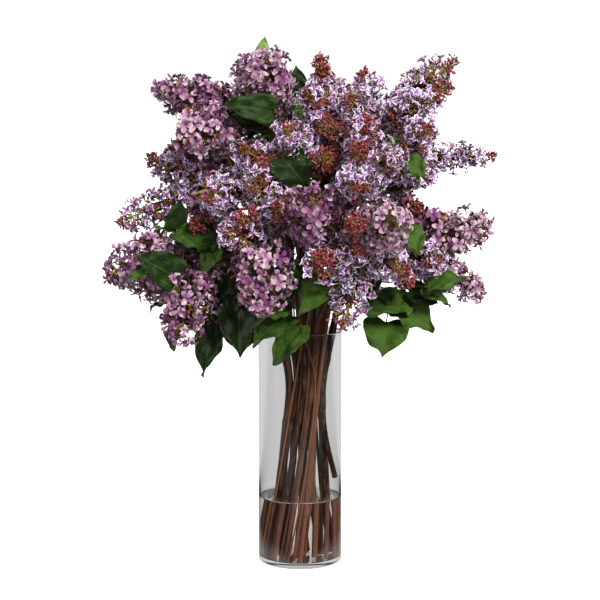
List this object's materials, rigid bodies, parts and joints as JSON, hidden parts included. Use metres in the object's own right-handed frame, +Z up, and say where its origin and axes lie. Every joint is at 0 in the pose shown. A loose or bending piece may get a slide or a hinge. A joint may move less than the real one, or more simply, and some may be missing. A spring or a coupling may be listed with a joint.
{
  "type": "lilac bouquet in a glass vase",
  "caption": "Woody lilac branches with mauve and violet flower heads and heart-shaped leaves, standing in water in a clear glass cylinder vase.",
  "frame": {"origin": "centre of the vase's underside", "axes": "+Z up along the vase's axis, -Y towards the front of the bouquet, +X to the right as seen from the front"},
  "size_m": [0.576, 0.4443, 0.796],
  "materials": {
    "glass": "clear and smooth",
    "water": "clear still water",
    "bark": "dark red-brown bark, dull",
    "leaf": "green leaf with a soft sheen",
    "petals_mauve": "dusty mauve petals, matt",
    "petals_violet": "violet petals with pale edges, matt"
  },
  "bodies": {
    "root": {"vase": "glass", "stem_01": "bark", "bloom_01": "petals_mauve", "stem_02": "bark", "bloom_02": "petals_mauve", "stem_03": "bark", "bloom_03": "petals_violet", "stem_04": "bark", "bloom_04": "petals_mauve", "stem_05": "bark", "bloom_05": "petals_mauve", "stem_06": "bark", "bloom_06": "petals_violet", "stem_07": "bark", "bloom_07": "petals_violet", "stem_08": "bark", "bloom_08": "petals_violet", "stem_09": "bark", "bloom_09": "petals_violet", "stem_10": "bark", "bloom_10": "petals_violet", "stem_11": "bark", "bloom_11": "petals_violet", "stem_12": "bark", "bloom_12": "petals_violet", "stem_13": "bark", "bloom_13": "petals_mauve", "stem_14": "bark", "bloom_14": "petals_mauve", "stem_15": "bark", "bloom_15": "petals_mauve", "stem_16": "bark", "bloom_16": "petals_mauve", "stem_17": "bark", "bloom_17": "petals_violet", "stem_18": "bark", "bloom_18": "petals_mauve", "stem_19": "bark", "bloom_19": "petals_violet", "stem_20": "bark", "bloom_20": "petals_mauve", "water": "water", "leafy_shoot_01": "leaf", "leafy_shoot_02": "leaf", "leafy_shoot_03": "leaf", "leafy_shoot_04": "leaf", "leafy_shoot_05": "leaf", "leafy_shoot_06": "leaf", "leafy_shoot_07": "leaf", "leafy_shoot_08": "leaf", "leafy_shoot_09": "leaf", "leafy_shoot_10": "leaf", "leafy_shoot_11": "leaf", "leafy_shoot_12": "leaf", "leafy_shoot_13": "leaf", "leafy_shoot_14": "leaf", "leafy_shoot_15": "leaf", "leafy_shoot_16": "leaf", "leafy_shoot_17": "leaf"}
  },
  "joints": []
}
